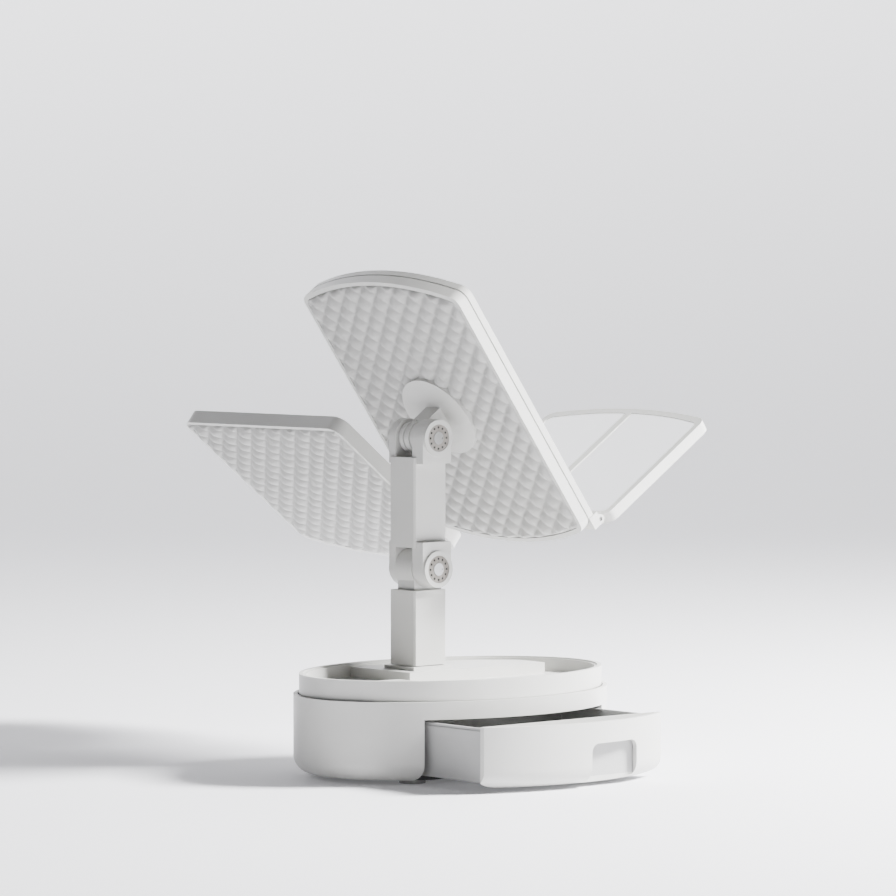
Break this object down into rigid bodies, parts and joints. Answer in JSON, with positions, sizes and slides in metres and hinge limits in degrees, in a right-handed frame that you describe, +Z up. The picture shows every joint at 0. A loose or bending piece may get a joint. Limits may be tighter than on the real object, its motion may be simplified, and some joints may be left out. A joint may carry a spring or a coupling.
{
  "type": "folding vanity mirror",
  "caption": "Vanity mirror with a tilting quilted head, folding mirror flap and side wing on a jointed column over an oval tray base with drawer.",
  "frame": {"origin": "middle of the oval base's footprint, on the surface it stands on", "axes": "+Z up; -Y towards the drawer's front; +X is the side the mirrors face"},
  "size_m": [0.3339, 0.4528, 0.3474],
  "materials": {
    "white_plastic": "satin",
    "grey_plastic": "matte",
    "taupe_plastic": "knurled",
    "mirror_glass": "polished",
    "quilted_cover": "diamond quilted",
    "steel": "brushed",
    "ballast_steel": "painted",
    "rubber": "matte",
    "diffuser": "frosted",
    "dark_plastic": "matte"
  },
  "bodies": {
    "base": {"base_shell": "white_plastic", "base_bottom_plate": "ballast_steel", "ballast_left": "ballast_steel", "ballast_right": "ballast_steel", "drawer_runner_left": "grey_plastic", "drawer_runner_right": "grey_plastic", "base_foot": "rubber", "deck_band": "white_plastic", "tray_rim_band": "white_plastic", "tray": "white_plastic", "swivel_bush": "grey_plastic", "column_plinth": "white_plastic"},
    "drawer": {"drawer_front": "white_plastic", "drawer_grip_plate": "grey_plastic", "drawer_box": "grey_plastic", "drawer_rail_left": "grey_plastic", "drawer_rail_right": "grey_plastic", "drawer_divider": "grey_plastic"},
    "column": {"lower_post": "white_plastic", "swivel_spindle": "steel", "swivel_washer": "steel", "swivel_nut": "steel"},
    "arm": {"upper_arm": "white_plastic", "elbow_pin": "steel", "elbow_cap": "white_plastic", "elbow_grip_ring": "taupe_plastic", "elbow_cap_screw": "steel", "elbow_far_cap": "white_plastic", "head_pin": "steel", "head_cap": "white_plastic", "head_grip_ring": "taupe_plastic", "head_cap_screw": "steel", "head_far_cap": "white_plastic"},
    "head": {"mirror_bracket": "white_plastic", "mount_disc": "white_plastic", "panel_back_shell": "white_plastic", "panel_quilted_cover": "quilted_cover", "panel_front_bezel": "white_plastic", "mirror_carrier": "white_plastic", "light_diffuser": "diffuser", "main_mirror": "mirror_glass", "battery_pack": "dark_plastic", "control_board": "dark_plastic", "hinge_knuckle_near": "white_plastic", "hinge_knuckle_far": "white_plastic", "hinge_rod": "steel", "wing_pin": "white_plastic"},
    "flap": {"flap_frame": "white_plastic", "flap_hinge_barrel": "white_plastic", "flap_mirror_near": "mirror_glass", "flap_mirror_far": "mirror_glass", "flap_quilted_cover": "quilted_cover"},
    "wing": {"wing_frame": "white_plastic", "wing_mirror_inner": "mirror_glass", "wing_mirror_outer": "mirror_glass", "wing_quilted_cover": "quilted_cover"}
  },
  "joints": [
    {"name": "drawer_slide", "type": "slide", "parent": "base", "child": "drawer", "axis": [0, -1, 0], "range_m": [-0.06, 0.01]},
    {"name": "column_swivel", "type": "hinge", "parent": "base", "child": "column", "pos_m": [0, 0.036, 0.07], "axis": [0, 0, 1], "range_deg": [-225, 45]},
    {"name": "elbow_tilt", "type": "hinge", "parent": "column", "child": "arm", "pos_m": [0, 0.036, 0.139], "axis": [0, 1, 0], "range_deg": [-30, 30]},
    {"name": "mirror_tilt", "type": "hinge", "parent": "arm", "child": "head", "pos_m": [0, 0.036, 0.2306], "axis": [0, -1, 0], "range_deg": [-38, 50]},
    {"name": "flap_fold", "type": "hinge", "parent": "head", "child": "flap", "pos_m": [0.09724, 0.036, 0.17332], "axis": [0, -1, 0], "range_deg": [-12, 88]},
    {"name": "wing_tilt", "type": "hinge", "parent": "head", "child": "wing", "pos_m": [0.07839, 0.122, 0.17816], "axis": [0, 1, 0], "range_deg": [-45, 45]}
  ]
}
